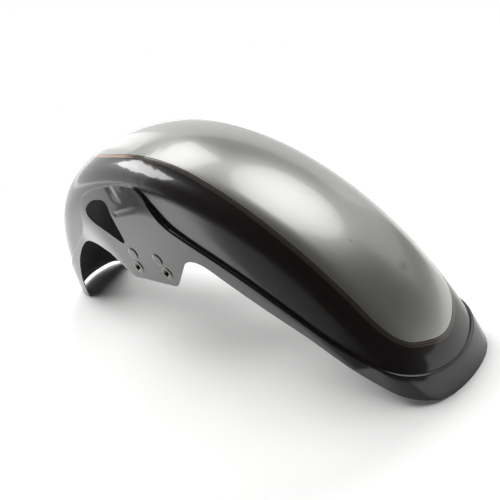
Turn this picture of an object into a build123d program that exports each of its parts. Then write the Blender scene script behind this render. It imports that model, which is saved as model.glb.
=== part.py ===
# Motorcycle front mudguard: one pressed steel sheet with fork ears, and four threaded collars.
# Millimetres. +X to the tail, -Y to the near side, +Z up, floor at z = 0, wheel axis along Y.
from build123d import *
import math
import os

# Main sizes
crown_radius = 350.0        # crown line, measured from the wheel axis
axis_depth = 85.0           # wheel axis below the floor
half_width = 64.5           # flank of the dome at the top of the arch
crown_arc = 125.0           # cross section: arc over the crown
shoulder_arc = 36.0         # cross section: arc of the shoulders
tail_swell = 0.12           # width gained per radian toward the tail
end_taper = 0.124           # width lost per radian squared toward both ends
sheet = 1.2                 # steel sheet
sections = 21               # cross sections along the sheet
end_spare = 4.0             # degrees that the sheet is drawn past the floor at both ends
deep_spare = 4.0            # depth that the sheet is drawn past the ears
margin = 8.0                # clearance of the cutting bodies

# Step from dome to flange; depths are measured in from the crown line
step = 4.0                  # outward step
step_wall = 2.2             # height of the step's own wall, seen from the side
step_depth = 92.8           # deepest dip of the step line, behind the ears
nose_depth = 59.6           # deepest dip of the step line, ahead of the ears
flange_width = 22.0         # flange left below the deepest dip
arch_depth = 110.2          # rim where the front arch leaves the ear

# Fork ears
plate_reach = 6.0           # flat ear plate stands out this far from the flank of the dome
plate_front = (-42.0, -22.0)   # degrees over which the plate swings out to the ears
plate_rear = (25.0, 55.0)      # degrees over which it returns to the flank
pad_drop = 31.5             # top edge of the ear pad
pad_ends = (-22.6, 1.2)     # degrees
pad_corner = 1.6            # the pad's front corner turns down by this
crease_drop = 66.0          # pad leans in above this line
shelf_depth = 118.0         # shelf behind the ear
shelf_ends = (12.4, 18.8)   # degrees
shelf_rounds = (16.0, 18.0)
ear_edge = 18.0             # sheet below the bolts
ear_front = 20.0            # sheet ahead of the front bolt
ear_rear = 9.0              # sheet behind the rear bolt
ear_rounds = (10.0, 9.0)

# Teardrop window in each ear pad
window_gap = 17.1           # below the pad's top edge
window_bulge = 3.9          # rise of its curved top edge
window_depth = 113.2        # lowest corner
window_rounds = (8.0, 10.0, 6.0)

# Dart that stiffens the pad's top edge, and dimples beside the bolts
dart_angles = (-8.3, -6.8)  # degrees, top and foot
dart_rise = 2.0             # its top lies this far above the pad's edge
dart_foot = 25.0            # its foot lies this far below the pad's edge
dart_radius = 6.0
dart_skim = 0.4             # sheet of the dome left clear of the dart's bottom line
dimple_places = ((4.0, 21.0), (-6.0, 19.0))   # from each bolt
dimple_radius = 5.0
dimple_rise = 1.5

# Fork mount
bolt_pitch = 57.0
bolt_drop = 150.0           # bolts below the top of the arch
thread_radius = 4.0
thread_lead = 0.5           # chamfer at both mouths of the thread
spigot_radius = 6.5
spigot_play = 0.1           # sheet hole over spigot, on the radius
collar_radius = 9.5
collar_proud = 1.0
collar_depth = 7.0          # from the seat inward
seat_depth = 0.15           # flat seat pressed into the plate under each collar

# Measures that follow
shoulder_angle = math.asin((half_width - shoulder_arc) / (crown_arc - shoulder_arc))
crown_run = crown_arc * shoulder_angle
flank_run = crown_run + shoulder_arc * (math.pi / 2 - shoulder_angle)
flank_drop = crown_arc - (crown_arc - shoulder_arc) * math.cos(shoulder_angle)
pad_angle = math.acos((flank_drop - pad_drop) / shoulder_arc)
pad_run = crown_run + shoulder_arc * (pad_angle - shoulder_angle)
crease_run = flank_run + crease_drop - flank_drop
deep_run = flank_run + bolt_drop + ear_edge + deep_spare - flank_drop
plate_half = half_width + plate_reach
end_angle = math.degrees(math.acos(axis_depth / crown_radius)) + end_spare
rim_depth = step_depth + flange_width
bolt_x = (-bolt_pitch, 0.0)
bolt_z = crown_radius - axis_depth - bolt_drop
outside = crown_radius + 2 * margin
seat = plate_half - seat_depth


def ease(u):
    u = min(max(u, 0.0), 1.0)
    return u * u * (3 - 2 * u)


def width_factor(angle):
    return 1 + tail_swell * angle - end_taper * angle ** 2


def half_section(run):
    """Half width, drop below the crown, and outward normal, at a run round the section from the crown."""
    if run < crown_run:
        a = run / crown_arc
        return crown_arc * math.sin(a), crown_arc * (1 - math.cos(a)), math.sin(a), math.cos(a)
    if run < flank_run:
        a = shoulder_angle + (run - crown_run) / shoulder_arc
        y = half_width - shoulder_arc + shoulder_arc * math.sin(a)
        return y, flank_drop - shoulder_arc * math.cos(a), math.sin(a), math.cos(a)
    return half_width, flank_drop + run - flank_run, 1.0, 0.0


def plate_share(angle):
    """1 where the flat ear plate stands fully out, 0 where the flange follows the dome."""
    degrees = math.degrees(angle)
    out = ease((degrees - plate_front[0]) / (plate_front[1] - plate_front[0]))
    back = 1 - ease((degrees - plate_rear[0]) / (plate_rear[1] - plate_rear[0]))
    return out * back


def lean_run(angle):
    """Run at which the flange leaves the shoulder: at the pad's top edge, or where the flank starts."""
    return flank_run + (pad_run - flank_run) * plate_share(angle)


def skin(angle, run, lift, plate):
    """Point of a skin lifted off the dome; plate 1 adds the flat flange plate, 0 leaves it out."""
    y, drop, ny, nz = half_section(abs(run))
    y = y * width_factor(angle) + lift * ny
    if plate:
        start = lean_run(angle)
        shift = (plate_half - half_width * width_factor(angle) - step) * plate_share(angle)
        y += shift * min(max((abs(run) - start) / (crease_run - start), 0.0), 1.0)
    r = crown_radius - drop + lift * nz
    side = 1 if run > 0 else -1
    return Vector(r * math.sin(angle), side * y, r * math.cos(angle) - axis_depth)


def arc_edge(at, start, stop, bend):
    """Part of a section between two runs on one bend, as a single cubic curve."""
    reach = 4 / 3 * math.tan((stop - start) / bend / 4) * bend
    nudge = 0.01
    leave = (at(start + nudge) - at(start)) * (reach / nudge)
    arrive = (at(stop) - at(stop - nudge)) * (reach / nudge)
    return Edge.make_bezier(at(start), at(start) + leave, at(stop) - arrive, at(stop))


def skin_edges(angle, lift, plate, deep):
    """One skin across the mudguard at an angle round the wheel, from the near rim to the far rim."""
    def at(run):
        return skin(angle, run, lift, plate)
    turn = lean_run(angle) if plate else flank_run
    edges = [
        arc_edge(at, -turn, -crown_run, shoulder_arc),
        arc_edge(at, -crown_run, crown_run, crown_arc),
        arc_edge(at, crown_run, turn, shoulder_arc),
    ]
    corners = [turn, crease_run, deep] if plate else [turn, deep]
    for a, b in zip(corners, corners[1:]):
        edges.append(Edge.make_line(at(a), at(b)))
        edges.insert(0, Edge.make_line(at(-b), at(-a)))
    return edges


def between(low_lift, low_plate, high_lift, high_plate, extra=0.0):
    """Solid between two skins, lofted round the wheel; extra makes it longer and deeper."""
    rings = []
    for i in range(sections):
        angle = math.radians((end_angle + extra / 2) * (2 * i / (sections - 1) - 1))
        low = skin_edges(angle, low_lift, low_plate, deep_run + extra)
        high = skin_edges(angle, high_lift, high_plate, deep_run + extra)
        near = Edge.make_line(low[0] @ 0, high[0] @ 0)
        far = Edge.make_line(low[-1] @ 1, high[-1] @ 1)
        rings.append(Wire(low + [far] + high + [near]))
    return Solid.make_loft(rings, False)


def side_prism(face):
    """Side view outline, drawn as X and Z, run right through in Y."""
    return extrude(Plane.XZ * face, 2 * plate_half, both=True)


def ring_point(drop, degrees):
    """Side view point, in from the crown line at an angle round the wheel."""
    a = math.radians(degrees)
    return (crown_radius - drop) * math.sin(a), (crown_radius - drop) * math.cos(a) - axis_depth


def dip_points(depth, *points):
    """Side view points of a line that dips from the crown line: degrees, and share of its depth."""
    return [ring_point(depth * share, degrees) for degrees, share in points]


def step_outline():
    """Area above the step line, seen from the side."""
    tail = dip_points(
        step_depth, (75, -0.267), (71.3, -0.005), (65.2, 0.377), (58.1, 0.737),
        (43.6, 0.959), (27.6, 1), (15.2, 0.935), (7.9, 0.791))
    rise, turn = dip_points(step_depth, (4.4, 0.54), (3.5, 0.446))
    front, rear = (ring_point(pad_drop, degrees) for degrees in pad_ends)
    middle = ring_point(pad_drop, sum(pad_ends) / 2)
    nose = dip_points(
        nose_depth, (-29.5, 0.861), (-37.3, 1), (-50.1, 0.799),
        (-64.7, 0.304), (-72.4, -0.007), (-78, -0.337))
    corner = ring_point(pad_drop + pad_corner, pad_ends[0] - pad_corner)
    lid = Polyline(nose[-1], (nose[-1][0], outside), (tail[0][0], outside), tail[0])
    return make_face(
        Spline(*tail) + Line(tail[-1], rise)
        + Spline(rise, turn, rear, tangents=[(-0.5, 0.85), (-1, 0.02)])
        + ThreePointArc(rear, middle, front) + Spline(front, corner, *nose) + lid)


def rounded(face, corners):
    """Outline with the corners nearest the given points rounded."""
    for (x, z), radius in corners:
        point = min(face.vertices(), key=lambda v: (v.X - x) ** 2 + (v.Y - z) ** 2)
        face = fillet(point, radius)
    return face


def rim_outline():
    """Area kept above the trimmed rim, seen from the side."""
    tail = dip_points(
        rim_depth, (78.1, -0.156), (75.9, 0.013), (74, 0.14), (69.3, 0.45),
        (64.1, 0.657), (53.9, 0.848), (39.3, 1), (23, 0.996))
    arch = dip_points(
        arch_depth, (-27.8, 1), (-32.7, 0.825), (-38.2, 0.681), (-44, 0.603), (-54.7, 0.507),
        (-65, 0.424), (-71.3, 0.398), (-73.8, 0.407), (-76.4, 0.445))
    shelf = ring_point(shelf_depth, shelf_ends[0])
    shelf_rear = ((shelf[1] + axis_depth) * math.tan(math.radians(shelf_ends[1])), shelf[1])
    rear_corner = (bolt_x[1] + ear_rear, bolt_z - ear_edge)
    front_corner = (bolt_x[0] - ear_front, bolt_z - ear_edge)
    ear = Polyline(tail[-1], shelf_rear, shelf, rear_corner, front_corner, arch[0])
    lid = Polyline(
        arch[-1], (-outside, arch[-1][1]), (-outside, outside), (outside, outside),
        (outside, tail[0][1]), tail[0])
    face = make_face(Spline(*tail) + ear + Spline(*arch) + lid)
    corners = [front_corner, rear_corner, shelf, shelf_rear]
    return rounded(face, zip(corners, ear_rounds + shelf_rounds))


def window_outline():
    """Teardrop window in the ear pad."""
    top_drop = pad_drop + window_gap
    left, top = ring_point(top_drop, -25.8), ring_point(top_drop, -11.8)
    bulge = ring_point(top_drop - window_bulge, -18.5)
    low = ring_point(window_depth, -14.3)
    face = make_face(ThreePointArc(left, bulge, top) + Polyline(top, low, left))
    return rounded(face, zip((left, top, low), window_rounds))


def outward_disc(x, z, side, radius, start, stop):
    """Disc across an ear plate, between two distances from the middle plane."""
    at = Plane((x, side * start, z), x_dir=(1, 0, 0), z_dir=(0, side, 0))
    return extrude(at * Circle(radius), stop - start)


def dart_rod(side, radius):
    """Rod whose lowest line runs down the pad's top edge, from the dome out to the face of the pad."""
    top, foot = math.radians(dart_angles[0]), math.radians(dart_angles[1])
    top_run = side * (pad_run - dart_rise)
    foot_run = side * (pad_run + dart_foot)
    start = skin(top, top_run, dart_skim, 0)
    stop = skin(foot, foot_run, step, 1)
    along = (stop - start).normalized()
    out = skin(top, top_run, 1, 0) - skin(top, top_run, 0, 0)
    out = (out - along * out.dot(along)).normalized()
    begin = start + out * dart_radius - along * margin
    length = (stop - start).length + 2 * margin
    return extrude(Plane(begin, z_dir=along) * Circle(radius), length)


def dimple_ball(place, side, inset):
    """Ball of a dimple's cap, less an inset."""
    ball = (dimple_radius ** 2 + dimple_rise ** 2) / (2 * dimple_rise)
    return Pos(place[0], side * (plate_half + dimple_rise - ball), place[1]) * Sphere(ball - inset)


def pressed_sheet():
    whole = between(-sheet, 0, step, 1)
    above_dome = between(0, 0, step + margin, 1, margin)
    under_plate = between(-sheet - margin, 0, step - sheet, 1, margin)
    dome_side = side_prism(step_outline())
    body = whole - (under_plate - dome_side)
    for side in (-1, 1):
        body = body + (whole & dart_rod(side, dart_radius + sheet)) - dart_rod(side, dart_radius)
    body = body - (above_dome & (Pos(0, 0, step_wall) * dome_side))
    above_floor = Pos(0, 0, outside / 2) * Box(2 * outside, 4 * plate_half, outside)
    body = body & (side_prism(rim_outline()) & above_floor)
    body = body - side_prism(window_outline())
    for side in (-1, 1):
        for x, (ahead, above) in zip(bolt_x, dimple_places):
            place = (x + ahead, bolt_z + above)
            cap = outward_disc(*place, side, dimple_radius + sheet, plate_half - sheet, plate_half + dimple_rise)
            body = body + (dimple_ball(place, side, 0) & cap) - dimple_ball(place, side, sheet)
            body = body - outward_disc(x, bolt_z, side, spigot_radius + spigot_play, plate_half - margin, seat)
            body = body - outward_disc(x, bolt_z, side, collar_radius + spigot_play, seat, plate_half + margin)
    return body


def collar(x, side):
    """Flanged threaded collar seated on the outside of an ear."""
    inner = seat - collar_depth
    outer = seat + collar_proud
    solid = outward_disc(x, bolt_z, side, spigot_radius, inner, seat)
    solid = solid + outward_disc(x, bolt_z, side, collar_radius, seat, outer)
    solid = solid - outward_disc(x, bolt_z, side, thread_radius, inner, outer)
    rings = solid.edges().filter_by(GeomType.CIRCLE)
    mouths = rings.filter_by(lambda edge: abs(edge.radius - thread_radius) < spigot_play)
    return chamfer(mouths, thread_lead)


os.makedirs("parts", exist_ok=True)
shell = pressed_sheet()
export_step(shell, "parts/mudguard_shell.step")
collars = Compound(children=[collar(x, side).solid() for x in bolt_x for side in (-1, 1)])
export_step(collars, "parts/fork_collars.step")
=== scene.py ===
# %% [markdown]
# A motorcycle front mudguard, painted in two tones, stands on a pale floor. The drawing's solids carry
# the sizes. This lesson puts a smooth painted sheet and four turned collars in their place, and then sets
# the camera, the floor and the lights. Lengths are in millimetres until a mesh or a shader needs metres,
# and MM turns one into the other.

# %% Load the frame
import math

import bpy
import numpy as np
from mathutils import Matrix, Vector, geometry


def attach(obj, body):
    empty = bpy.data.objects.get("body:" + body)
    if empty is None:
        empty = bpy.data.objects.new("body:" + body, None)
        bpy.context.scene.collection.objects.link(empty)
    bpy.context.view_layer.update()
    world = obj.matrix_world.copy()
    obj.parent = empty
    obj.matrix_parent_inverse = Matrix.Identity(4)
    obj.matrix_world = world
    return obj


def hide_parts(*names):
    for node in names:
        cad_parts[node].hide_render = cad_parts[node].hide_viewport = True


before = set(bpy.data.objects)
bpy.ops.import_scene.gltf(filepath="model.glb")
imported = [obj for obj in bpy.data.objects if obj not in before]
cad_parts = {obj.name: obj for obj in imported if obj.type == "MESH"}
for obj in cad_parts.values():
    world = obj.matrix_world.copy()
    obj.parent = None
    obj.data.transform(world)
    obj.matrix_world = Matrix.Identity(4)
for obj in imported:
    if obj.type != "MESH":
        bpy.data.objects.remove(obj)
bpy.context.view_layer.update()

MM = 0.001

# %% [markdown]
# The camera comes first, because every later choice is judged through it. The photo was taken from behind
# and above the near flank, with the camera rolled clockwise. A camera can be aimed with a constraint, but
# the roll is easier to keep when its three axes are worked out.

# %% Camera
IMAGE_SIDE = 500  # pixels
FOCAL_PIXELS = 847.25
CAMERA_AZIMUTH = 0.9541  # radians, from the near side toward the tail
CAMERA_HEIGHT_ANGLE = 0.4876
CAMERA_ROLL = -0.4067
CAMERA_DISTANCE = 979.26 * MM
CAMERA_TARGET = Vector((73.7, 0.0, 110.53)) * MM
CLIP_START = 10 * MM
SENSOR = 36.0


def camera_axes():
    """Right, up and backward directions of the camera, with its roll."""
    flat = math.cos(CAMERA_HEIGHT_ANGLE)
    away = (math.sin(CAMERA_AZIMUTH) * flat, -math.cos(CAMERA_AZIMUTH) * flat)
    back = Vector((away[0], away[1], math.sin(CAMERA_HEIGHT_ANGLE)))
    level_right = Vector((math.cos(CAMERA_AZIMUTH), math.sin(CAMERA_AZIMUTH), 0.0))
    level_up = back.cross(level_right)
    right = math.cos(CAMERA_ROLL) * level_right + math.sin(CAMERA_ROLL) * level_up
    up = math.cos(CAMERA_ROLL) * level_up - math.sin(CAMERA_ROLL) * level_right
    return right, up, back


right, up, back = camera_axes()
camera_data = bpy.data.cameras.new("photo_camera")
camera_data.sensor_width = SENSOR
camera_data.lens = FOCAL_PIXELS * SENSOR / IMAGE_SIDE
camera_data.clip_start = CLIP_START
camera = bpy.data.objects.new("photo_camera", camera_data)
turned = Matrix((right, up, back)).transposed().to_4x4()
camera.matrix_world = Matrix.Translation(CAMERA_TARGET + back * CAMERA_DISTANCE) @ turned
bpy.context.scene.collection.objects.link(camera)
bpy.context.scene.camera = camera
print("camera lens in mm:", round(camera_data.lens, 1))

# %% [markdown]
# The mudguard is one steel sheet drawn over a round former. Its section is a wide crown arc, two tighter
# shoulder arcs and two straight flanks, and its width grows and tapers along the wheel. Every point of
# the sheet has two numbers: the angle round the wheel, and the run across it from the crown. A grid could
# be pushed about by hand, but gloss paint shows every dent, so formulas give the surface. They are the
# ones that shape the drawing's solid, only with a lower step than its 4 mm.

# %% Sizes of the pressed sheet
CROWN_RADIUS = 350.0  # of the crown line, round the wheel's axis
AXIS_DEPTH = 85.0  # of the wheel's axis below the floor
HALF_WIDTH = 64.5
CROWN_ARC = 125.0
SHOULDER_ARC = 36.0
TAIL_SWELL = 0.12
END_TAPER = 0.124
SHEET = 1.2
STEP = 2.8
PLATE_HALF = 70.5  # half the width over the two flat ears
PLATE_FRONT = (-42.0, -22.0)  # degrees over which the ears swing out and back in
PLATE_REAR = (25.0, 55.0)
PAD_TOP_RADIUS = 318.5
CREASE_RADIUS = 284.0
CREASE_SOFT = 3.0

SHOULDER_ANGLE = math.asin((HALF_WIDTH - SHOULDER_ARC) / (CROWN_ARC - SHOULDER_ARC))
CROWN_RUN = CROWN_ARC * SHOULDER_ANGLE
FLANK_RUN = CROWN_RUN + SHOULDER_ARC * (math.pi / 2 - SHOULDER_ANGLE)
FLANK_DROP = CROWN_ARC - (CROWN_ARC - SHOULDER_ARC) * math.cos(SHOULDER_ANGLE)
PAD_ANGLE = math.acos((FLANK_DROP - CROWN_RADIUS + PAD_TOP_RADIUS) / SHOULDER_ARC)
PAD_RUN = CROWN_RUN + SHOULDER_ARC * (PAD_ANGLE - SHOULDER_ANGLE)
CREASE_RUN = FLANK_RUN + CROWN_RADIUS - FLANK_DROP - CREASE_RADIUS
print("runs: crown", round(CROWN_RUN, 1), "pad", round(PAD_RUN, 1), "flank", round(FLANK_RUN, 1))

# %% Section of the sheet


def share_between(values, start, end):
    """0 at the start, 1 at the end, and held there beyond."""
    return np.clip((values - start) / (end - start), 0.0, 1.0)


def ease(u):
    """Smooth rise from 0 to 1, level at both ends."""
    u = np.clip(u, 0.0, 1.0)
    return u * u * (3 - 2 * u)


def width_factor(angle):
    """Width of the dome at an angle, against its width at the top of the arch."""
    return 1 + TAIL_SWELL * angle - END_TAPER * angle ** 2


def dome_section(angle, run, lift):
    """Half width and wheel radius of the dome, lifted outward by a distance."""
    crown = run < CROWN_RUN
    bend = np.where(crown, run / CROWN_ARC, SHOULDER_ANGLE + (run - CROWN_RUN) / SHOULDER_ARC)
    bend = np.minimum(bend, math.pi / 2)
    out, rise = np.sin(bend), np.cos(bend)
    half = np.where(crown, CROWN_ARC * out, HALF_WIDTH - SHOULDER_ARC + SHOULDER_ARC * out)
    drop = np.where(crown, CROWN_ARC * (1 - rise), FLANK_DROP - SHOULDER_ARC * rise)
    drop = drop + np.maximum(run - FLANK_RUN, 0.0)
    return half * width_factor(angle) + lift * out, CROWN_RADIUS - drop + lift * rise


def plate_share(angle):
    """1 where the flat ear plate stands fully out, 0 where the flange follows the dome."""
    degrees = np.degrees(angle)
    return ease(share_between(degrees, *PLATE_FRONT)) * (1 - ease(share_between(degrees, *PLATE_REAR)))


def flange_corner_section(angle, run):
    """Flange section with a sharp crease: lifted dome, leaning pad, upright plate."""
    lean_run = FLANK_RUN + (PAD_RUN - FLANK_RUN) * plate_share(angle)
    reach = (PLATE_HALF - HALF_WIDTH * width_factor(angle) - STEP) * plate_share(angle)
    high = dome_section(angle, np.minimum(run, lean_run), STEP)
    low = dome_section(angle, np.maximum(run, CREASE_RUN), STEP)
    share = share_between(run, lean_run, CREASE_RUN)
    half = high[0] + (low[0] + reach - high[0]) * share
    return half, high[1] + (low[1] - high[1]) * share


def flange_section(angle, run):
    """Flange section with the crease rounded by averaging three neighbours."""
    near = [flange_corner_section(angle, np.abs(run + d)) for d in (-CREASE_SOFT, 0.0, CREASE_SOFT)]
    flat = run > CROWN_RUN + CREASE_SOFT
    half = np.where(flat, sum(s[0] for s in near) / 3, near[1][0])
    return half, np.where(flat, sum(s[1] for s in near) / 3, near[1][1])


print("half width at the rim of the ear:", round(float(flange_section(0.0, CREASE_RUN + CREASE_SOFT)[0]), 1))

# %% [markdown]
# Two lines run round the sheet: the step, where the press pushes the flange out from the dome, and the
# edge of the silver field, which a sprayer masks with tape. Each is a few points, as degrees round the
# wheel and run, with a smooth curve through them. Unrolled into flat millimetres, they can be measured
# with plain distances.

# %% Lines on the sheet
UNROLL = 300.0  # mean radius, at which angles turn into flat millimetres
LINE_SPACING = 3.0
CROWN_SLACK = 0.01


def between(a, b, ta, tb, t):
    """Place at the times t on the straight way from a at time ta to b at time tb."""
    return ((tb - t) * a + (t - ta) * b) / (tb - ta)


def smooth_curve(points, spacing):
    """Curve through the points by a centripetal rule, sampled about every spacing."""
    p = np.array(points, float)
    p = np.vstack([2 * p[0] - p[1], p, 2 * p[-1] - p[-2]])
    out = []
    for a, b, c, d in zip(p, p[1:], p[2:], p[3:]):
        ta = np.linalg.norm(b - a) ** 0.5
        tb = ta + np.linalg.norm(c - b) ** 0.5
        tc = tb + np.linalg.norm(d - c) ** 0.5
        count = max(2, int(np.linalg.norm(c - b) / spacing))
        t = np.linspace(ta, tb, count, endpoint=False)[:, None]
        ab = between(a, b, 0.0, ta, t)
        bc = between(b, c, ta, tb, t)
        cd = between(c, d, tb, tc, t)
        abc = between(ab, bc, 0.0, tb, t)
        bcd = between(bc, cd, ta, tc, t)
        out.append(between(abc, bcd, ta, tb, t))
    return np.vstack(out + [p[-2:-1]])


def unrolled(points):
    """Angle in degrees and run, to flat millimetres."""
    p = np.array(points, float)
    return np.column_stack([np.radians(p[:, 0]) * UNROLL, p[:, 1]])


def mirrored_ends(points):
    """Half outline whose two ends lie on the crown, with a mirrored point beyond each end."""
    first, last = points[1], points[-2]
    return [(first[0], -first[1])] + list(points) + [(last[0], -last[1])]


def half_outline(points):
    """Near half of a line that crosses the crown squarely at both ends."""
    curve = smooth_curve(unrolled(mirrored_ends(points)), LINE_SPACING)
    return curve[curve[:, 1] > -CROWN_SLACK]


STEP_LINE = [
    (71.4, 0), (70.9, 25), (69.3, 50), (65.8, 77), (58.0, 113), (43.6, 133.5), (27.6, 137.5), (15.2, 131),
    (8.2, 118.5), (5.2, 100), (3.9, 86), (1.2, 76.4), (-10, 76.3), (-20, 76.3), (-24.6, 79), (-29.5, 96),
    (-37.3, 104.5), (-50.1, 92.5), (-64.7, 61), (-70.5, 32), (-72.4, 0),
]
SILVER_EDGE = [
    (67.2, 0), (66.9, 12), (66.0, 24), (64.4, 39), (62.2, 47.5), (58.5, 52.4), (52, 53.4), (46, 53.6),
    (37, 52.6), (28, 50), (20, 47), (14, 44), (7, 42), (0, 41), (-6, 40), (-11, 37.5), (-15, 31.5),
    (-19, 23.5), (-22, 13), (-23, 0),
]
step_line = half_outline(STEP_LINE)
silver_edge = half_outline(SILVER_EDGE)
print("step line points:", len(step_line), "silver edge points:", len(silver_edge))

# %% [markdown]
# After pressing, the sheet is trimmed along its rim and the window and bolt holes are punched. These
# edges are easiest to read from the side, so they are given as X and Z and then carried over to the flat
# map. One small function carries points over, one rounds a corner, and one fills long gaps.

# %% Tools for the trimmed edges
LONGEST_RUN = 215.0
RUN_SAMPLES = 2151
ARC_SPACING = 2.0
run_table = np.linspace(0.0, LONGEST_RUN, RUN_SAMPLES)
radius_table = flange_corner_section(np.zeros_like(run_table), run_table)[1]


def from_side(points):
    """Side view X and Z, to flat millimetres on the flange."""
    p = np.array(points, float)
    radius = np.hypot(p[:, 0], p[:, 1] + AXIS_DEPTH)
    run = np.interp(-radius, -radius_table, run_table)
    return np.column_stack([np.arctan2(p[:, 0], p[:, 1] + AXIS_DEPTH) * UNROLL, run])


def rounded_corner(before, corner, after, radius):
    """Points of an arc that rounds a corner between two straight edges."""
    corner = np.array(corner, float)
    u = np.array(before, float) - corner
    v = np.array(after, float) - corner
    u, v = u / np.linalg.norm(u), v / np.linalg.norm(v)
    half = math.acos(float(np.clip(u @ v, -1, 1))) / 2
    centre = corner + (u + v) / np.linalg.norm(u + v) * radius / math.sin(half)
    start = corner + u * radius / math.tan(half) - centre
    stop = corner + v * radius / math.tan(half) - centre
    turn = math.atan2(start[0] * stop[1] - start[1] * stop[0], start @ stop)
    angles = np.linspace(0, turn, max(4, int(abs(turn) * radius / ARC_SPACING)))
    return [centre + np.array((start[0] * math.cos(a) - start[1] * math.sin(a),
                               start[0] * math.sin(a) + start[1] * math.cos(a))) for a in angles]


def spaced(points, spacing):
    """Polyline with points added so that none lie further apart than the spacing."""
    out = []
    for a, b in zip(points, points[1:]):
        count = max(1, int(math.ceil(np.linalg.norm(np.subtract(b, a)) / spacing)))
        out += [np.add(a, np.subtract(b, a) * i / count) for i in range(count)]
    return np.array(out + [points[-1]])


print("wheel radius at the longest run:", round(float(radius_table[-1]), 1), "mm")

# %% [markdown]
# The rim goes along the tail, round the ear, over the arch behind the nose and along the front edge.
# Light shows under the front edge in the photo, so that edge is lifted between its tips, where the
# drawing's solid is cut level with the floor. The notch behind the ear is rounder than the solid's too.

# %% Points of the rim, window and holes
RIM_TAIL = [(338, 0.0), (321, 7), (279, 20.5), (247, 35), (204, 64), (149, 97), (92, 132)]
RIM_EAR = [(92, 132), (77, 141.5), (50, 141.5), (9, 97), (-77, 97), (-112, 127)]
EAR_ROUNDS = (45, 30, 12, 10)
RIM_ARCH = [
    (-112, 127), (-140, 133), (-170, 131), (-197, 119), (-240, 85), (-275, 43), (-290, 13), (-293, 0.0),
]
FRONT_LIFT = 5.0
LIFT_RUN = 40.0
FRONT_POINTS = 36
TAIL_POINTS = 14
CROWN_POINTS = 150
CROSSING_POINTS = 14
STEP_REACH = 4.4  # how far the step's own dense points reach beside its line
WINDOW = [(-131, 186.5), (-61.5, 210), (-58.5, 144.5)]
WINDOW_ROUNDS = (8, 10, 6)
WINDOW_TOP_BULGE = (-97, 204.5)
WINDOW_TOP_CLEAR = (14, 9)  # left to the rounded corners at the two ends of the top edge
WINDOW_SPACING = 2.5
BOLT_X = (-57.0, 0.0)
BOLT_Z = 115.0
SPIGOT_HOLE = 6.6
HOLE_POINTS = 28
print("window corners:", len(WINDOW), "holes in each ear:", len(BOLT_X))

# %% Outlines on the flat map


def end_cut(runs, lift, end):
    """Where an end of the sheet is trimmed, lift above the floor; end is -1 at the front, 1 at the tail."""
    radius = flange_corner_section(np.zeros_like(runs), runs)[1]
    return np.column_stack([end * np.arccos((AXIS_DEPTH + lift) / radius) * UNROLL, runs])


def side_rim():
    """Rim of one flank from tail to front, on the flat map."""
    ear = [RIM_EAR[0]]
    for i, radius in enumerate(EAR_ROUNDS):
        ear += rounded_corner(RIM_EAR[i], RIM_EAR[i + 1], RIM_EAR[i + 2], radius)
    ear = spaced(ear + [RIM_EAR[-1]], LINE_SPACING)
    tail, arch = smooth_curve(RIM_TAIL, LINE_SPACING), smooth_curve(RIM_ARCH, LINE_SPACING)
    return from_side(np.vstack([tail, ear[1:], arch[1:]]))


def rim_loop():
    """Closed outline of half the sheet, flattened: crown line, tail, rim and front."""
    rim = side_rim()
    runs = np.linspace(rim[-1, 1], 0.0, FRONT_POINTS)
    front = end_cut(runs, FRONT_LIFT * ease((runs[0] - runs) / LIFT_RUN), -1)
    tail = end_cut(np.linspace(0.0, rim[0, 1], TAIL_POINTS), 0.0, 1)
    along = [np.linspace(front[-1, 0], tail[0, 0], CROWN_POINTS)]
    beside = np.linspace(-STEP_REACH, STEP_REACH, CROSSING_POINTS)
    along += [step_line[i, 0] + beside for i in (0, -1)]
    along = np.sort(np.concatenate(along))
    crown = np.column_stack([along, np.zeros(len(along))])
    return np.vstack([crown[:-1], tail[:-1], rim[:-1], front[:-1]])


def window_loop():
    """Closed outline of the teardrop window, with its bulged top edge."""
    left, top, low = WINDOW
    bulge = smooth_curve([left, WINDOW_TOP_BULGE, top], LINE_SPACING)
    begin, stop = left[0] + WINDOW_TOP_CLEAR[0], top[0] - WINDOW_TOP_CLEAR[1]
    points = rounded_corner(low, left, bulge[2], WINDOW_ROUNDS[0])
    points += [p for p in bulge if begin < p[0] < stop]
    points += rounded_corner(bulge[-3], top, low, WINDOW_ROUNDS[1])
    points += rounded_corner(top, low, left, WINDOW_ROUNDS[2])
    return from_side(spaced(points + [points[0]], WINDOW_SPACING)[:-1])


def hole_loop(x):
    """Hole for the spigot of one collar."""
    angles = np.linspace(0, 2 * math.pi, HOLE_POINTS, endpoint=False)
    circle = np.column_stack([np.cos(angles), np.sin(angles)])
    return from_side(SPIGOT_HOLE * circle + (x, BOLT_Z))


loops = [rim_loop(), window_loop()] + [hole_loop(x) for x in BOLT_X]
print("loop points:", [len(loop) for loop in loops])

# %% [markdown]
# Every pressed form is a smooth height over the flat map, so forms can simply be added up. For that, the
# distance from a point to a line and the side it lies on are needed. The crown line mirrors the map, so
# distances to the step and to the silver field are measured on the near half alone.

# %% Distances on the flat map
BATCH = 4000  # points measured at once, to keep memory small
NO_LENGTH = 1e-12


def distance_to(line, points):
    """Shortest distance from each point to a polyline."""
    a, b = line[:-1], line[1:]
    edge = b - a
    length2 = np.maximum((edge ** 2).sum(1), NO_LENGTH)
    best = np.empty(len(points))
    for start in range(0, len(points), BATCH):
        p = points[start:start + BATCH, None, :]
        share = np.clip(((p - a) * edge).sum(2) / length2, 0.0, 1.0)
        gap = p - (a + share[..., None] * edge)
        best[start:start + BATCH] = np.sqrt((gap ** 2).sum(2)).min(1)
    return best


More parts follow.
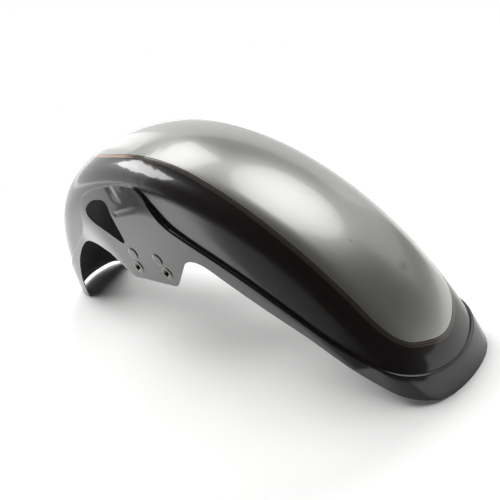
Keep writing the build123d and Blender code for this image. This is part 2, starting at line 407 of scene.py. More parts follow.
def inside(loop, points):
    """Which points lie inside a closed loop."""
    x, y = points[:, 0], points[:, 1]
    within = np.zeros(len(points), bool)
    for (x0, y0), (x1, y1) in zip(loop, np.roll(loop, -1, axis=0)):
        if y0 != y1:
            crosses = (y0 > y) != (y1 > y)
            within ^= crosses & (x < x0 + (y - y0) / (y1 - y0) * (x1 - x0))
    return within


def signed_distance(half_line, points):
    """Distance to a half outline, negative inside it; the loop is closed just beyond the crown line."""
    mirrored = np.column_stack([points[:, 0], np.abs(points[:, 1])])
    gap = distance_to(half_line, mirrored)
    closed = np.vstack([half_line, [(half_line[-1, 0], -1.0), (half_line[0, 0], -1.0)]])
    return np.where(inside(closed, mirrored), -gap, gap)


crown_top = signed_distance(step_line, np.array([(0.0, 0.0)]))[0]
print("the top of the crown lies", round(float(-crown_top)), "mm inside the step line")

# %% [markdown]
# The press leaves more than the step: a dart across the top of each ear pad stiffens the bend, a shallow
# fold crosses the pad below it, and a low dimple stands beside each bolt. The step is softly rounded here
# and lies a little outside the solid's, as the photo shows it.

# %% Pressed details
STEP_WIDTH = 1.8
STEP_SHIFT = 1.5
STEP_LEAN = 0.7  # below 1 the rise is steeper at its foot
DART_LINE = ((-45.5, 229.0), (-35.0, 206.0))  # from its deep top to its shallow end, as X and Z
DART_WIDTH = 11.0
DART_DEPTH = 0.55  # share of the step that it takes away
FOLD_LINE = ((-50.0, 192.5), (6.0, 206.5))
FOLD_WIDTH = 5.0
FOLD_DEPTH = 0.6
FOLD_FADE = 1.5
DIMPLES = ((-53.0, 136.0), (-6.0, 134.0))
DIMPLE_RADIUS = 9.0
DIMPLE_EDGE = 3.2
DIMPLE_RISE = 0.9


def side_place(angle, radius):
    """X and Z of a point given by angle and wheel radius."""
    return np.column_stack([radius * np.sin(angle), radius * np.cos(angle) - AXIS_DEPTH])


def step_share(flat):
    """0 on the dome, 1 on the flange, with a soft rise outside the step line."""
    climb = share_between(signed_distance(step_line, flat), STEP_SHIFT, STEP_SHIFT + STEP_WIDTH)
    return ease(climb ** STEP_LEAN)


def dart_share(place):
    """Share of the step that the dart takes away, most at its top."""
    top, end = DART_LINE
    gap = distance_to(np.array(DART_LINE), place)
    return DART_DEPTH * ease(1 - gap / DART_WIDTH) * ease(share_between(place[:, 1], end[1], top[1]))


def fold_depth(place):
    """Depth of the fold across the pad, fading out at its rear end."""
    front, rear = FOLD_LINE
    gap = distance_to(np.array(FOLD_LINE), place)
    fade = FOLD_FADE * (1 - share_between(place[:, 0], front[0], rear[0]))
    return FOLD_DEPTH * ease(1 - gap / FOLD_WIDTH) * ease(fade)


def dimple_height(place):
    """Height of the two dimples."""
    gaps = [np.hypot(place[:, 0] - x, place[:, 1] - z) for x, z in DIMPLES]
    return DIMPLE_RISE * sum(ease((DIMPLE_RADIUS - gap) / DIMPLE_EDGE) for gap in gaps)


print("step width", STEP_WIDTH, "mm, dart", DART_WIDTH, "mm wide")

# %% Outer surface
NUDGE = 0.05


def outer_skin(flat):
    """Outer surface at flat points, in millimetres; points with a negative run lie on the far half."""
    angle, run = flat[:, 0] / UNROLL, np.abs(flat[:, 1])
    dome = dome_section(angle, run, 0.0)
    flange = flange_section(angle, run)
    place = side_place(angle, flange[1])
    share = step_share(flat) * (1 - dart_share(place))
    half = dome[0] + (flange[0] - dome[0]) * share - fold_depth(place)
    half = half + dimple_height(place) * (run > FLANK_RUN)
    x, z = side_place(angle, dome[1] + (flange[1] - dome[1]) * share).T
    return np.column_stack([x, np.where(flat[:, 1] < 0, half, -half), z])


def skin_normals(flat):
    """Outward directions of the outer surface, from small steps along the sheet."""
    along = outer_skin(flat + (NUDGE, 0.0)) - outer_skin(flat - (NUDGE, 0.0))
    across = outer_skin(flat + (0.0, NUDGE)) - outer_skin(flat - (0.0, NUDGE))
    normals = np.cross(across, along)
    return normals / np.linalg.norm(normals, axis=1)[:, None]


print("top of the crown at", outer_skin(np.array([(0.0, 0.0)]))[0].round(1))

# %% [markdown]
# A grid alone would leave a ragged rim and a saw-toothed step. Here the flat map is filled with a loose
# grid, with dense rows beside the step, with rings round the dimples and with fine patches over the dart
# and the fold.

# %% Points on the flat map
GRID_ANGLE = 5.2
GRID_RUN = 4.4
GRID_CLEAR = 1.5  # kept free between the step's rows and the loose grid
RIBBON_ROWS = 10
RIBBON_FROM = -0.2  # first row, as a share of the step's reach
RIBBON_SLACK = 0.2
DIMPLE_RINGS = (0.01, 2.6, 4.6, 5.8, 6.7, 7.6, 8.5, 9.4)
DART_PATCH = ((-58, -24, 2.0), (203, 230, 2.0))  # first, last and spacing, along X and along Z
FOLD_PATCH = ((-56, 12, 1.8), (186, 213, 1.5))
FOLD_MARGIN = 1.5
DETAIL_MARGIN = 2.0
DETAIL_CLEAR = 0.8


def ribbon_points():
    """Rows of points beside the step line, without those that fold over at a tight bend."""
    ahead = np.gradient(step_line, axis=0)
    outward = np.column_stack([ahead[:, 1], -ahead[:, 0]])
    outward /= np.linalg.norm(outward, axis=1)[:, None]
    rows = []
    for offset in np.linspace(RIBBON_FROM, 1.0, RIBBON_ROWS) * STEP_REACH:
        row = step_line + outward * offset
        rows.append(row[np.abs(distance_to(step_line, row) - abs(offset)) < RIBBON_SLACK])
    return np.vstack(rows)


def grid_points():
    """Loose grid over the whole map, every second row shifted, clear of the step."""
    low, high = loops[0].min(0), loops[0].max(0)
    a = np.arange(low[0], high[0], GRID_ANGLE)
    rows = []
    for i, run in enumerate(np.arange(0.0, high[1], GRID_RUN)):
        rows.append(np.column_stack([a + (i % 2) * GRID_ANGLE / 2, np.full(len(a), run)]))
    grid = np.vstack(rows)
    return grid[distance_to(step_line, grid) > STEP_REACH + GRID_CLEAR]


def fine_patch(line, patch, reach):
    """Close grid round a line seen from the side, as far as a reach from it."""
    x, z = np.meshgrid(np.arange(*patch[0]), np.arange(*patch[1]))
    places = np.column_stack([x.ravel(), z.ravel()])
    return places[distance_to(np.array(line), places) < reach]


def detail_points():
    """Rings round the dimples and fine patches over the dart and the fold."""
    places = []
    for x, z in DIMPLES:
        for ring, radius in enumerate(DIMPLE_RINGS):
            angles = np.linspace(0, 2 * math.pi, 1 + 6 * ring, endpoint=False)
            places.append(np.column_stack([x + radius * np.cos(angles), z + radius * np.sin(angles)]))
    places.append(fine_patch(DART_LINE, DART_PATCH, DART_WIDTH + DETAIL_MARGIN))
    places.append(fine_patch(FOLD_LINE, FOLD_PATCH, FOLD_WIDTH + FOLD_MARGIN))
    flat = from_side(np.vstack(places))
    return flat[distance_to(step_line, flat) > STEP_REACH + DETAIL_CLEAR]


print("points beside the step:", len(ribbon_points()), "over the details:", len(detail_points()))

# %% Points that stay
FINE_GAP = 0.7  # least distance of a fine point from a cut edge
EDGE_GAP = 2.2  # least distance of a grid point from a cut edge
THIN_CELL = 0.55


def kept_inside(points, gap):
    """Points inside the rim and outside the holes, clear of every edge."""
    keep = inside(loops[0], points) & (points[:, 1] > gap)
    for loop in loops:
        keep &= distance_to(np.vstack([loop, loop[:1]]), points) > gap
    for loop in loops[1:]:
        keep &= ~inside(loop, points)
    return points[keep]


def thinned(points, cell):
    """One point per small square cell, the first to come."""
    kept = {}
    for p in points:
        kept.setdefault((int(p[0] // cell), int(p[1] // cell)), p)
    return np.array(list(kept.values()))


fine = kept_inside(np.vstack([ribbon_points(), detail_points()]), FINE_GAP)
grid = kept_inside(grid_points(), EDGE_GAP)
details = [(DART_LINE, DART_WIDTH), (FOLD_LINE, FOLD_WIDTH)]
details += [((centre, centre), DIMPLE_RADIUS) for centre in DIMPLES]
for line, reach in details:
    grid = grid[distance_to(from_side(line), grid) > reach + DETAIL_MARGIN]
inner_points = thinned(np.vstack([fine, grid]), THIN_CELL)
print("points inside the map:", len(inner_points))

# %% [markdown]
# A constrained triangulation joins the points up to the rim, the window and the holes, so every cut edge
# is exact. Triangles that fall outside the rim or into a hole are left out.

# %% Triangles on the flat map
MERGE = 1e-4


def flat_triangles():
    """Flat points of half the sheet, and their triangles."""
    points = [tuple(p) for loop in loops for p in loop] + [tuple(p) for p in inner_points]
    edges, first = [], 0
    for loop in loops:
        n = len(loop)
        edges += [(first + i, first + (i + 1) % n) for i in range(n)]
        first += n
    made = geometry.delaunay_2d_cdt([Vector(p) for p in points], edges, [], 0, MERGE, False)
    points = np.array([tuple(v) for v in made[0]])
    faces = np.array(made[2])
    middle = points[faces].mean(1)
    keep = inside(loops[0], middle)
    for loop in loops[1:]:
        keep &= ~inside(loop, middle)
    return points, faces[keep]


flat, faces = flat_triangles()
print("flat points:", len(flat), "triangles:", len(faces))

# %% [markdown]
# Half a map is enough: the far half is its mirror, joined along the crown line. Each flat point then goes
# to its place in space. The inner face lies one sheet's thickness below the outer one, and a narrow wall
# closes the sheet along every cut edge, as a shear leaves it.

# %% Build the sheet
ON_CROWN = 1e-3


def both_halves(flat, faces):
    """Mirrored map, all facing outward: the far half reuses the points on the crown line."""
    off_crown = np.abs(flat[:, 1]) >= ON_CROWN
    twin = np.arange(len(flat))
    twin[off_crown] = len(flat) + np.arange(off_crown.sum())
    far = flat[off_crown] * (1.0, -1.0)
    return np.vstack([flat, far]), np.vstack([faces[:, ::-1], twin[faces]])


def cut_edges(faces):
    """Edges that only one triangle uses, in that triangle's direction."""
    edges = {(a, b): True for f in faces.tolist() for a, b in zip(f, f[1:] + f[:1])}
    return [(a, b) for a, b in edges if (b, a) not in edges]


whole_flat, whole_faces = both_halves(flat, faces)
outer = outer_skin(whole_flat)
normals = skin_normals(whole_flat)
inner = outer - normals * SHEET
wall = cut_edges(whole_faces)
count = len(outer)
points = np.vstack([outer, inner])
points[:, 2] = np.maximum(points[:, 2], 0.0)
polygons = whole_faces.tolist()
polygons += (whole_faces[:, ::-1] + count).tolist()
polygons += [(b, a, a + count, b + count) for a, b in wall]
mesh = bpy.data.meshes.new("pressed_mudguard")
mesh.from_pydata((points * MM).tolist(), [], polygons)
mesh.update()
shell = bpy.data.objects.new("pressed_mudguard", mesh)
bpy.context.scene.collection.objects.link(shell)
print("sheet faces:", len(mesh.polygons), "wall faces:", len(wall))

# %% [markdown]
# Gloss paint shows every ripple of the shading, so the surface directions come from the formulas and not
# from the triangles. The map also gives each point its distance from the edge of the silver field, which
# the paint uses to draw crisp lines that don't depend on the size of the triangles.

# %% Smooth shading and paint map


def corner_normals():
    """Direction for each face corner: the formula's on both faces, flat along the cut edge."""
    directions = []
    for polygon in mesh.polygons:
        if len(polygon.vertices) == 4:
            directions += [tuple(polygon.normal)] * 4
            continue
        for i in polygon.vertices:
            n = normals[i] if i < count else -normals[i - count]
            directions.append(tuple(n))
    return directions


mesh.polygons.foreach_set("use_smooth", [True] * len(mesh.polygons))
mesh.normals_split_custom_set(corner_normals())
field = signed_distance(silver_edge, whole_flat) * MM
attribute = mesh.attributes.new("silver_distance", "FLOAT", "POINT")
attribute.data.foreach_set("value", np.concatenate([field, field]).astype(np.float32))
unwrapped = mesh.uv_layers.new(name="flat_map")
corner_point = np.zeros(len(mesh.loops), np.int32)
mesh.loops.foreach_get("vertex_index", corner_point)
corner_place = whole_flat[corner_point % count] * MM
unwrapped.data.foreach_set("uv", corner_place.astype(np.float32).ravel())
print("silver field reaches", round(float(-field.min() / MM), 1), "mm in from its edge")

# %% [markdown]
# One small function adds a shader node with its settings and links, and a few short ones on top of it
# give the sums, patterns and blends that every finish needs. Colours are written as the hex values that a
# colour chart shows, and one function turns them into the linear values that light adds up in.

# %% Adding nodes


def linear(hex_colour):
    """sRGB hex to linear red, green, blue and alpha."""
    values = [int(hex_colour[i:i + 2], 16) / 255 for i in (1, 3, 5)]
    return [v / 12.92 if v <= 0.04045 else ((v + 0.055) / 1.055) ** 2.4 for v in values] + [1.0]


def feed(tree, node, inputs):
    """Sets inputs of a node; each is a value or the output socket that feeds it."""
    for name, value in inputs.items():
        if isinstance(value, bpy.types.NodeSocket):
            tree.links.new(value, node.inputs[name])
        else:
            node.inputs[name].default_value = value


def add(tree, kind, inputs=None, **settings):
    """New node with settings and inputs."""
    made = tree.nodes.new(kind)
    for name, value in settings.items():
        setattr(made, name, value)
    feed(tree, made, inputs or {})
    return made


print("mid grey is", [round(v, 3) for v in linear("#808080")[:3]], "in linear values")

# %% Sums, patterns and blends


def calculate(tree, operation, *values):
    """Result of one sum on numbers."""
    return add(tree, "ShaderNodeMath", dict(enumerate(values)), operation=operation).outputs[0]


def calculate_vector(tree, operation, first, second):
    """Result of one sum on two vectors: a number for a distance or a product, otherwise a vector."""
    made = add(tree, "ShaderNodeVectorMath", {0: first, 1: second}, operation=operation)
    return made.outputs["Value" if operation in ("DISTANCE", "DOT_PRODUCT") else "Vector"]


def scaled(tree, vector, factor):
    """Vector or colour, times a number."""
    return add(tree, "ShaderNodeVectorMath", {0: vector, "Scale": factor}, operation="SCALE").outputs[0]


def remap(tree, value, old, new=(0.0, 1.0), kind="LINEAR"):
    """Value carried from one range to another and held at the ends."""
    ends = {"Value": value, "From Min": old[0], "From Max": old[1], "To Min": new[0], "To Max": new[1]}
    return add(tree, "ShaderNodeMapRange", ends, interpolation_type=kind).outputs[0]


def clouds(tree, place, size, detail):
    """Cloudy pattern between 0 and 1, with clouds about this many millimetres across."""
    inputs = {"Vector": place, "Scale": 1 / (size * MM), "Detail": detail}
    return add(tree, "ShaderNodeTexNoise", inputs).outputs[0]


def blend(tree, share, first, second):
    """Colour between two others."""
    return add(tree, "ShaderNodeMix", {"Factor": share, 6: first, 7: second}, data_type="RGBA").outputs[2]


def object_place(tree):
    """Place on the object, in metres."""
    return add(tree, "ShaderNodeTexCoord").outputs["Object"]


def new_material(name):
    """Material with an empty node tree, its principled shader and its output."""
    material = bpy.data.materials.new(name)
    material.use_nodes = True
    tree = material.node_tree
    tree.nodes.clear()
    shader = add(tree, "ShaderNodeBsdfPrincipled")
    add(tree, "ShaderNodeOutputMaterial", {"Surface": shader.outputs[0]})
    return material, tree, shader


print("helpers ready")

# %% [markdown]
# The outside is sprayed car enamel under clear lacquer: black all over, then a satin silver field on the
# crown, then two thin bronze lines round the field. At the front the lines are painted a bright copper
# instead, as a painted highlight where they catch the light. Silver and bronze hold metal flake, which
# spreads their highlights. The colours lie side by side as bands of one ramp over the distance from the
# field's edge, and the ramp's alpha says how metallic each band is.

# %% Bands of paint
BAND_FROM, BAND_TO = -2.0, 8.0
LINE_FLAKE = 0.6
PAINT_BANDS = (  # where each begins, outward from the edge of the silver; its colour; its share of metal
    (-2.0, "#C4C4C0", 0.88), (0.0, "#2B2827", 0.3), (0.9, "#6B6059", LINE_FLAKE), (2.2, "#393432", 0.4),
    (3.1, "#5C544F", LINE_FLAKE), (4.6, "#1C1817", 0.0),
)
FLAKE_MATCH = 0.05
# The bright copper is a painted highlight on the lines at the front, where they catch the light.
COPPER_HIGHLIGHT = "#CDA283"
COPPER_HIGHLIGHT_FADE = (5.0, -25.0)  # X where the copper begins to show, and where it shows fully


def paint_ramp(tree, edge):
    """Colour of the paint beside the edge of the silver field, with its metal flake in the alpha."""
    spread = remap(tree, edge, (BAND_FROM * MM, BAND_TO * MM))
    ramp = add(tree, "ShaderNodeValToRGB", {"Fac": spread})
    stops = ramp.color_ramp
    stops.interpolation = "CONSTANT"
    stops.elements.remove(stops.elements[1])
    for i, (begin, colour, flake) in enumerate(PAINT_BANDS):
        place = (begin - BAND_FROM) / (BAND_TO - BAND_FROM)
        stop = stops.elements.new(place) if i else stops.elements[0]
        stop.color = linear(colour)[:3] + [flake]
    return ramp.outputs["Color"], ramp.outputs["Alpha"]


def copper_highlight_mask(tree, place, metal):
    """1 on the lines at the front, where they are painted bright copper as a painted highlight."""
    line = calculate(tree, "COMPARE", metal, LINE_FLAKE, FLAKE_MATCH)
    along = add(tree, "ShaderNodeSeparateXYZ", {0: place}).outputs["X"]
    front = remap(tree, along, (COPPER_HIGHLIGHT_FADE[0] * MM, COPPER_HIGHLIGHT_FADE[1] * MM), kind="SMOOTHSTEP")
    return calculate(tree, "MULTIPLY", line, front)


print("bands of paint:", len(PAINT_BANDS))

# %% [markdown]
# The paint isn't new. It has specks and scratches on the silver and one soft smudge. A dark stroke is
# drawn on the nose, and a dark dot sits in each of two dimples: painted shade for a pinhole there. On the
# near shoulder the lacquer has crept into low waves, which break up the glare there. Marks could be
# painted on an image. Here each is a short stroke with a ragged edge, so it stays sharp at any size.

# %% Wear in the paint, and painted shade in the dimples
# Colour of the dirt, and of the dots of painted shade in the dimples.
DIRT_AND_SHADE = "#4E4A47"
MARKS_AND_SHADE = (  # start, end and half width of each stroke
    ((231, -2, 178), (233, -2, 176), 0.2), ((251, -12, 158), (253, -12, 156), 0.3),
    ((266, -24, 138), (268, -24, 136), 0.2),
    ((196, -5, 205), (206, 2, 198), 0.05), ((201, -2, 202), (211, 5, 194), 0.03),
    ((-254, -54, 93), (-236, -55, 99), 0.8), ((-236, -55, 102), (-216, -56, 110), 1.1),
    # Dots of painted shade at the dimples' centres, for a pinhole in each.
    ((-53.5, -71, 136), (-52.5, -71, 136), 0.6), ((-6.5, -71, 135), (-5.5, -71, 135), 0.6),
)
NO_MARK = 1.0  # a gap in metres that no mark reaches
RAGGED_SIZE = 2.0
RAGGED_DEPTH = 0.8
MARK_EDGE = (0.6, 0.2)
SMUDGE = ((286, 11, 115), 9.0, 0.35)  # centre, radius and strength
CREPT_PATCH = ((18, -53, 249), 80.0, 1.0)
CREPT_WAVE = 20.0
CREPT_DEPTH = 1.2


def stroke_gap(tree, place, start, end, half_width):
    """Distance from the side of a stroke, negative on it."""
    begin = Vector(start) * MM
    stroke = Vector(end) * MM - begin
    away = calculate_vector(tree, "SUBTRACT", place, begin)
    share = calculate_vector(tree, "DOT_PRODUCT", away, stroke / stroke.length_squared)
    share = add(tree, "ShaderNodeClamp", {"Value": share}).outputs[0]
    beside = calculate_vector(tree, "DISTANCE", away, scaled(tree, stroke, share))
    return calculate(tree, "SUBTRACT", beside, half_width * MM)


def marks_and_shade_mask(tree, place):
    """1 on chips, specks, scratches, the dark stroke on the nose and the dots of painted shade in the
    dimples.
    """
    nearest = NO_MARK
    for mark in MARKS_AND_SHADE:
        nearest = calculate(tree, "MINIMUM", nearest, stroke_gap(tree, place, *mark))
    ragged = clouds(tree, place, RAGGED_SIZE, detail=2.0)
    nearest = calculate(tree, "MULTIPLY_ADD", ragged, RAGGED_DEPTH * MM, nearest)
    return remap(tree, nearest, (MARK_EDGE[0] * MM, MARK_EDGE[1] * MM))


def soft_patch(tree, place, centre, radius, most):
    """Most at the centre of a round patch, fading to nothing at its radius."""
    gap = calculate_vector(tree, "DISTANCE", place, Vector(centre) * MM)
    return remap(tree, gap, (radius * MM, 0.0), (0.0, most), "SMOOTHSTEP")


def crept_lacquer(tree, place):
    """Low waves in the lacquer on one shoulder."""
    waves = clouds(tree, place, CREPT_WAVE, detail=1.0)
    share = soft_patch(tree, place, *CREPT_PATCH)
    bump = {"Height": waves, "Distance": CREPT_DEPTH * MM, "Strength": share}
    return add(tree, "ShaderNodeBump", bump).outputs[0]


print("marks:", len(MARKS_AND_SHADE))

# %% [markdown]
# The finishes themselves: enamel outside and primer inside. The lacquer is one coat over all of the
# paint, so its gloss is the same everywhere, and below it the silver is satin. The wheel side is only
# primed, as nobody sees it. The cut edge is sprayed together with the outside, so it has the enamel too.

# %% Enamel and primer
FLAKE = 0.6  # real flake is about a tenth of this and is drawn coarser, so that the picture can show it
FLAKE_SPREAD = (0.3, 0.7)
FLAKE_SHADE = (0.94, 1.0)
ENAMEL_ROUGHNESS = (0.3, 0.36)  # without metal, and with metal
ORANGE_PEEL = 3.0
PEEL_DEPTH = 0.03
PEEL_STRENGTH = 0.4
PRIMER_CLOUD = 40.0
PRIMER_ROUGHNESS = 0.5


def paint_wear_and_painted_light(tree, place, paint, metal):
    """Bands of paint with their flake, the painted copper highlight at the front, the smudge, the marks and
    the painted shade in the dimples.
    """
    flake = remap(tree, clouds(tree, place, FLAKE, detail=1.0), FLAKE_SPREAD, FLAKE_SHADE)
    colour = scaled(tree, paint, flake)
    colour = blend(tree, copper_highlight_mask(tree, place, metal), colour, linear(COPPER_HIGHLIGHT))
    colour = blend(tree, soft_patch(tree, place, *SMUDGE), colour, linear(DIRT_AND_SHADE))
    return blend(tree, marks_and_shade_mask(tree, place), colour, linear(DIRT_AND_SHADE))


def orange_peel(tree, place):
    """Faint ripple that spray leaves in paint, felt more than seen."""
    ripple = clouds(tree, place, ORANGE_PEEL, detail=2.0)
    bump = {"Height": ripple, "Distance": PEEL_DEPTH * MM, "Strength": PEEL_STRENGTH}
    return add(tree, "ShaderNodeBump", bump).outputs[0]


def sprayed_enamel():
    """Enamel under lacquer: a wide soft sheen in the silver, and sharp reflections over all of it."""
    material, tree, shader = new_material("sprayed_two_tone_enamel")
    place = object_place(tree)
    edge = add(tree, "ShaderNodeAttribute", attribute_name="silver_distance").outputs["Fac"]
    paint, metal = paint_ramp(tree, edge)
    feed(tree, shader, {
        "Base Color": paint_wear_and_painted_light(tree, place, paint, metal),
        "Metallic": metal,
        "Roughness": remap(tree, metal, (0.0, 1.0), ENAMEL_ROUGHNESS),
        "Normal": orange_peel(tree, place),
        "Specular IOR Level": 0.3,
        "Coat Weight": 1.0,
        "Coat Roughness": 0.09,
        "Coat Normal": crept_lacquer(tree, place),
    })
    return material


def primed_inside():
    """Black primer, sprayed thinly: a dull cloudy black that mirrors nothing sharply."""
    material, tree, shader = new_material("matt_black_primer")
    dust = clouds(tree, object_place(tree), PRIMER_CLOUD, detail=6.0)
    feed(tree, shader, {
        "Base Color": blend(tree, dust, linear("#201F20"), linear("#333130")),
        "Roughness": PRIMER_ROUGHNESS,
    })
    return material


mesh.materials.append(sprayed_enamel())
mesh.materials.append(primed_inside())
outside_faces = len(whole_faces)
mesh.polygons.foreach_set("material_index", [0] * outside_faces + [1] * outside_faces + [0] * len(wall))
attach(shell, "root")
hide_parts("mudguard_shell")
print("painted faces:", outside_faces)

# %% [markdown]
# Each ear holds two flanged collars, turned from steel bar and zinc plated. A lathe profile spun round
# the bolt axis gives the flange, its broken edges, and the ridges of the thread inside. The ridges are
# closed rings and don't climb, because at this size nobody can tell them from a real thread.

# %% Fork collars
COLLAR_RADIUS = 9.5
SPIGOT_RADIUS = 6.5
SEAT = 70.35
COLLAR_PROUD = 1.0
COLLAR_DEPTH = 7.0
THREAD_PITCH = 1.25
THREAD_ROOT = 4.05
THREAD_CREST = 3.55
EDGE_BREAK = 0.8
LEAD_IN = 1.1
LATHE_SIDES = 64


def collar_profile():
    """Closed lathe profile: radius, and distance outward from the seat."""
    top, bottom = COLLAR_PROUD, -COLLAR_DEPTH
    profile = [
        (THREAD_ROOT + LEAD_IN, top), (COLLAR_RADIUS - EDGE_BREAK, top), (COLLAR_RADIUS, top - EDGE_BREAK),
        (COLLAR_RADIUS, 0.0), (SPIGOT_RADIUS, 0.0), (SPIGOT_RADIUS, bottom + EDGE_BREAK),
        (SPIGOT_RADIUS - EDGE_BREAK, bottom), (THREAD_ROOT + LEAD_IN, bottom),
    ]
    turns = int((COLLAR_PROUD + COLLAR_DEPTH - 2 * LEAD_IN) / THREAD_PITCH)
    for i in range(turns):
        depth = bottom + LEAD_IN + i * THREAD_PITCH
        profile += [(THREAD_ROOT, depth), (THREAD_CREST, depth + THREAD_PITCH / 2)]
    profile.append((THREAD_ROOT, bottom + LEAD_IN + turns * THREAD_PITCH))
    return profile


def spun_collar(x, side, first):
    """Points and faces of one collar, with point numbers from first on; side is -1 near and 1 far."""
    points, quads = [], []
    profile = collar_profile()
    n = len(profile)
    for i in range(LATHE_SIDES):
        a = 2 * math.pi * i / LATHE_SIDES
        points += [(x + r * math.cos(a), side * (SEAT + d), BOLT_Z + r * math.sin(a)) for r, d in profile]
        here, there = first + i * n, first + (i + 1) % LATHE_SIDES * n
        for j in range(n):
            quad = (here + j, here + (j + 1) % n, there + (j + 1) % n, there + j)
            quads.append(quad if side > 0 else quad[::-1])
    return points, quads


def turned_collars():
    """Mesh of all four collars."""
    points, quads = [], []
    for x in BOLT_X:
        for side in (-1, 1):
            more_points, more_quads = spun_collar(x, side, len(points))
            points += more_points
            quads += more_quads
    made = bpy.data.meshes.new("turned_collars")
    made.from_pydata([tuple(v * MM for v in p) for p in points], [], quads)
    made.update()
    return made


collars = bpy.data.objects.new("turned_collars", turned_collars())
bpy.context.scene.collection.objects.link(collars)
print("collar faces:", len(collars.data.polygons))

# %% Zinc on the collars
TURNING_MARKS = 1.5  # real marks are about a tenth of this and are drawn coarser, to be seen at all
ZINC_ROUGHNESS = (0.22, 0.42)


def zinc_plate():
    """Zinc plated steel: a soft grey metal with faint turning marks."""
    material, tree, shader = new_material("zinc_plated_steel")
    marks = clouds(tree, object_place(tree), TURNING_MARKS, detail=4.0)
    feed(tree, shader, {
        "Base Color": blend(tree, marks, linear("#6A6A67"), linear("#8B8B87")),
        "Roughness": remap(tree, marks, (0.0, 1.0), ZINC_ROUGHNESS),
        "Metallic": 1.0,
    })
    return material


collars.data.materials.append(zinc_plate())
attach(collars, "root")
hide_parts("fork_collars")
print("collar finish:", collars.data.materials[0].name)

# %% [markdown]
# The floor is white paper. Close to the mudguard it is plain matt paper, so that it takes the shadow.
# Further out it turns into an even white that only the eye and mirror-like surfaces see, so it lights
# nothing. More light would whiten the paper too, but it would also bleach the paint.

# %% Floor
FLOOR_SIDE = 16.0  # metres, as are all places and sizes from here on
SHADOW_ROOM = (0.42, 0.95)


def seen_directly(tree):
    """1 for rays from the camera, from mirror-like surfaces and through clear ones."""
    ray = add(tree, "ShaderNodeLightPath").outputs
    seen = calculate(tree, "MAXIMUM", ray["Is Camera Ray"], ray["Is Glossy Ray"])
    return calculate(tree, "MAXIMUM", seen, ray["Is Transmission Ray"])


def white_paper():
    """Matt paper: even, without any gloss, and plain white far from the mudguard."""
    material, tree, shader = new_material("matt_white_paper")
    feed(tree, shader, {"Base Color": linear("#F5F5F4"), "Roughness": 0.9, "Specular IOR Level": 0.2})
    reach = calculate_vector(tree, "DISTANCE", object_place(tree), (0.0, 0.0, 0.0))
    far = remap(tree, reach, SHADOW_ROOM, kind="SMOOTHSTEP")
    share = calculate(tree, "MULTIPLY", seen_directly(tree), far)
    white = add(tree, "ShaderNodeEmission", {"Color": linear("#FFFFFF"), "Strength": 1.0})
    mix = add(tree, "ShaderNodeMixShader", {0: share, 1: shader.outputs[0], 2: white.outputs[0]})
    feed(tree, tree.nodes["Material Output"], {"Surface": mix.outputs[0]})
    return material


bpy.ops.mesh.primitive_plane_add(size=FLOOR_SIDE, location=(0, 0, 0))
floor = bpy.context.active_object
floor.name = "paper_floor"
floor.data.materials.append(white_paper())
print("plain white from", SHADOW_ROOM[1], "m outward")

# %% [markdown]
# Gloss paint is lit with large pale shapes that it can mirror, in a room that is otherwise dark. A wide
# soft light hangs above and a little behind. Softboxes and pale walls stand in front, on the left and
# behind, and their reflections draw the form of the crown and the nose. Two of them are only mirrored and
# light nothing else. Three wide fills do the opposite: they soften the shadow on the floor and stay out
# of the reflections. The room itself is white only for the camera, because the black paint in the photo
# mirrors a dark room.

# %% Lamps
LAMP_AIM = Vector((0.0, 0.0, 0.12))
SKY_DISTANCE = 2.0
ROOM_GREY = "#2E2E2E"


def place_facing(made, direction, distance):
    """Puts a lamp out in a direction, facing the mudguard."""
    aim = Vector(direction).normalized()
    made.location = aim * distance + LAMP_AIM
    made.rotation_euler = aim.to_track_quat("Z", "Y").to_euler()
    bpy.context.scene.collection.objects.link(made)
    return made


def soft_lamp(name, direction, distance, size, radiance):
    """Rectangular softbox with a given brightness of its face."""
    data = bpy.data.lights.new(name, "AREA")
    data.shape = "RECTANGLE"
    data.size, data.size_y = size
    data.energy = radiance * math.pi * size[0] * size[1]
    return place_facing(bpy.data.objects.new(name, data), direction, distance)


def sky_lamp(name, direction, spread, strength):
    """Very wide soft light, the same all over the floor; the spread is in degrees."""
    data = bpy.data.lights.new(name, "SUN")
    data.energy = strength
    data.angle = math.radians(spread)
    return place_facing(bpy.data.objects.new(name, data), direction, SKY_DISTANCE)


def dark_room():
    """World that is dark grey for light and reflections and white for the camera."""
    world = bpy.data.worlds.new("dark_room")
    bpy.context.scene.world = world
    world.use_nodes = True
    tree = world.node_tree
    tree.nodes.clear()
    glow = add(tree, "ShaderNodeBackground", {"Color": linear(ROOM_GREY), "Strength": 1.0})
    white = add(tree, "ShaderNodeBackground", {"Color": linear("#FFFFFF"), "Strength": 1.0})
    seen = add(tree, "ShaderNodeLightPath").outputs["Is Camera Ray"]
    mix = add(tree, "ShaderNodeMixShader", {0: seen, 1: glow.outputs[0], 2: white.outputs[0]})
    add(tree, "ShaderNodeOutputWorld", {"Surface": mix.outputs[0]})


dark_room()
sky_lamp("ceiling_light", (0.20, 0.34, 0.91), 46, 1.0)
sky_lamp("back_fill", (-0.30, 0.84, 0.42), 44, 2.2).visible_glossy = False
sky_lamp("front_fill", (-0.55, -0.06, 0.83), 44, 1.9).visible_glossy = False
sky_lamp("low_fill", (-0.86, 0.20, 0.42), 40, 0.7).visible_glossy = False
soft_lamp("front_softbox", (-0.50, 0.20, 0.84), 1.9, (0.9, 0.8), 2.4)
soft_lamp("left_softbox", (-0.72, -0.36, 0.60), 1.7, (0.95, 0.5), 7.0).visible_diffuse = False
soft_lamp("front_wall", (-0.95, -0.14, 0.28), 2.0, (3.0, 1.3), 0.85)
soft_lamp("back_wall", (-0.46, 0.84, 0.32), 1.9, (3.2, 1.4), 0.75)
soft_lamp("rear_wall", (0.50, 0.76, 0.42), 1.9, (1.3, 0.9), 0.5).visible_diffuse = False
bpy.context.scene.view_settings.view_transform = "Standard"
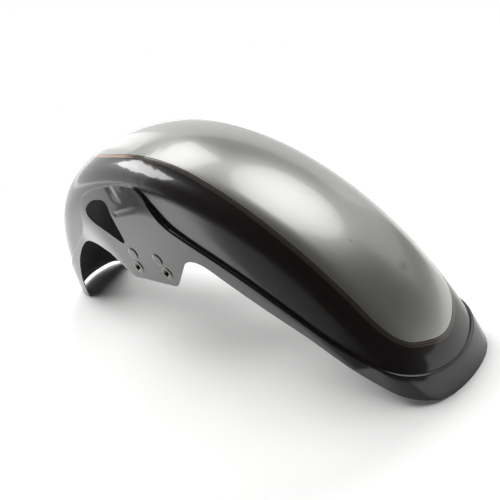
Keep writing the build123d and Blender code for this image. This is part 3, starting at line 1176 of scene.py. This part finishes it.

# %% [markdown]
# Black felt cards keep the glare of the white floor off gloss paint, as in a studio. A row of them stands
# along the near side for the flank, and two lie on the floor for the tail and for the ear pad. The one by
# the tail lies in place of the floor's shadow beside the tail, a painted shadow that the flange mirrors.
# The camera doesn't see them and they cast no shadow. Each thins out along X, so that no hard edge is
# mirrored.

# %% Black cards
FLAG_LINE = ((-0.46, -0.37), (0.22, -0.092), (0.265, -0.113), (0.36, -0.14), (0.9, -0.02))
FLAG_HEIGHT = 0.4
FLAG_FADE = (-0.42, -0.12)  # X where a card is clear, and X where it is full
# A dark card in place of the floor's shadow beside the tail: a painted shadow, seen only in the flange's
# reflection.
TAIL_SHADOW_CARD = ((0.10, -0.09), (0.34, -0.045), (0.37, -0.20), (0.10, -0.26))
TAIL_SHADOW_FADE = (0.14, 0.52)
PAD_CARD = ((-0.46, -0.29), (-0.36, -0.29), (-1.00, -1.10), (-1.40, -0.86))
PAD_FADE = (-0.40, -0.75)
CARD_LIFT = 0.0005


def black_felt(fade):
    """Black felt: it swallows light, and thins out along X."""
    material, tree, shader = new_material("black_felt")
    across = add(tree, "ShaderNodeSeparateXYZ", {0: object_place(tree)}).outputs["X"]
    cover = remap(tree, across, fade)
    feed(tree, shader, {"Base Color": linear("#151414"), "Roughness": 1.0, "Alpha": cover})
    return material


def felt_cards(name, cards, fade):
    """Black cards of four corners each, that only mirror-like surfaces see."""
    points = [corner for card in cards for corner in card]
    made = bpy.data.meshes.new(name)
    made.from_pydata(points, [], [tuple(range(i, i + 4)) for i in range(0, len(points), 4)])
    made.materials.append(black_felt(fade))
    flags = bpy.data.objects.new(name, made)
    bpy.context.scene.collection.objects.link(flags)
    flags.visible_camera = False
    flags.visible_diffuse = False
    flags.visible_shadow = False


def upright(start, end):
    """Corners of a card that stands on the floor between two places."""
    return [(*start, 0), (*end, 0), (*end, FLAG_HEIGHT), (*start, FLAG_HEIGHT)]


def laid(corners):
    """Corners of a card that lies on the floor."""
    return [(*corner, CARD_LIFT) for corner in corners]


felt_cards("upright_flags", [upright(a, b) for a, b in zip(FLAG_LINE, FLAG_LINE[1:])], FLAG_FADE)
felt_cards("tail_shadow_card", [laid(TAIL_SHADOW_CARD)], TAIL_SHADOW_FADE)
felt_cards("pad_card", [laid(PAD_CARD)], PAD_FADE)
print("upright cards:", len(FLAG_LINE) - 1)
